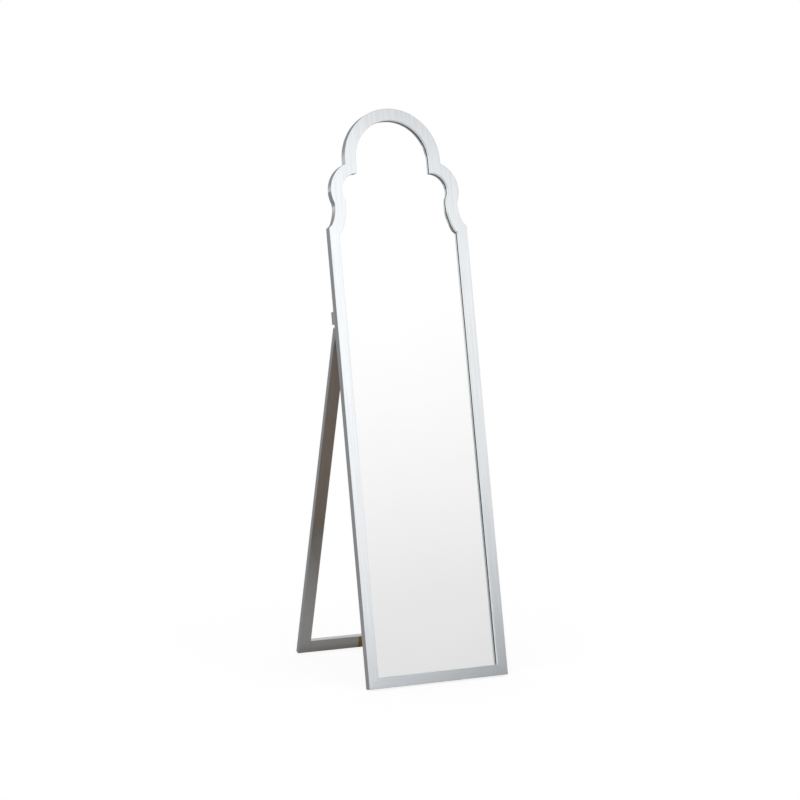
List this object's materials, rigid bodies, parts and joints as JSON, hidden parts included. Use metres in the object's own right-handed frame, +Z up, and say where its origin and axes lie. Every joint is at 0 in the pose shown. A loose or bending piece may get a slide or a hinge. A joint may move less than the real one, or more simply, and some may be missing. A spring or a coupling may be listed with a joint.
{
  "type": "floor mirror",
  "caption": "Tall floor mirror with an arched, lobed crown; it leans back on a hinged easel stand that a hooked stay holds open.",
  "frame": {"origin": "on the floor, at the centre of the footprint of the open, standing mirror", "axes": "+Z up, the mirror faces -Y, the stand lies towards +Y, +X is to the right as seen from the front"},
  "size_m": [0.424, 0.5246, 1.5739],
  "materials": {
    "silver_paint": "solid wood with brushed silver paint",
    "dowel_wood": "bare beech",
    "mirror_glass": "silvered float glass",
    "backing_board": "smooth brown hardboard",
    "steel": "zinc plated",
    "brass": "satin brass"
  },
  "bodies": {
    "mirror": {"left_stile": "silver_paint", "right_stile": "silver_paint", "bottom_rail": "silver_paint", "crown": "silver_paint", "corner_dowels": "dowel_wood", "crown_dowels": "dowel_wood", "mirror_glass": "mirror_glass", "backing_board": "backing_board", "retaining_clips": "steel", "clip_screws": "steel", "hinge_rail": "silver_paint", "hinge_rail_screws": "steel", "hinge_fixed_left": "brass", "hinge_fixed_right": "brass", "hinge_pin_left": "brass", "hinge_pin_right": "brass", "hinge_rail_side_screws": "brass", "stay_bracket_frame": "brass", "stay_bracket_frame_screws": "brass", "stay_rivet": "brass"},
    "stand": {"leg_left": "silver_paint", "leg_right": "silver_paint", "stand_top_rail": "silver_paint", "cross_bar": "silver_paint", "stand_dowels": "dowel_wood", "hinge_moving_left": "brass", "hinge_moving_right": "brass", "hinge_stand_screws": "brass", "stay_bracket_stand": "brass", "stay_bracket_stand_screws": "brass", "stay_stud": "brass"},
    "stay": {"stay_arm": "brass"}
  },
  "joints": [
    {"name": "stand_hinge", "type": "hinge", "parent": "mirror", "child": "stand", "pos_m": [0, -0.01301, 0.97454], "axis": [1, 0, 0], "range_deg": [-26.5, 0]},
    {"name": "stay_pivot", "type": "hinge", "parent": "mirror", "child": "stay", "pos_m": [0, -0.22885, 0.00861], "axis": [1, 0, 0], "range_deg": [0, 73.94]}
  ],
  "couplings": [
    {"joint": "stay_pivot", "follows": "stand_hinge", "ratio": -2.79}
  ]
}
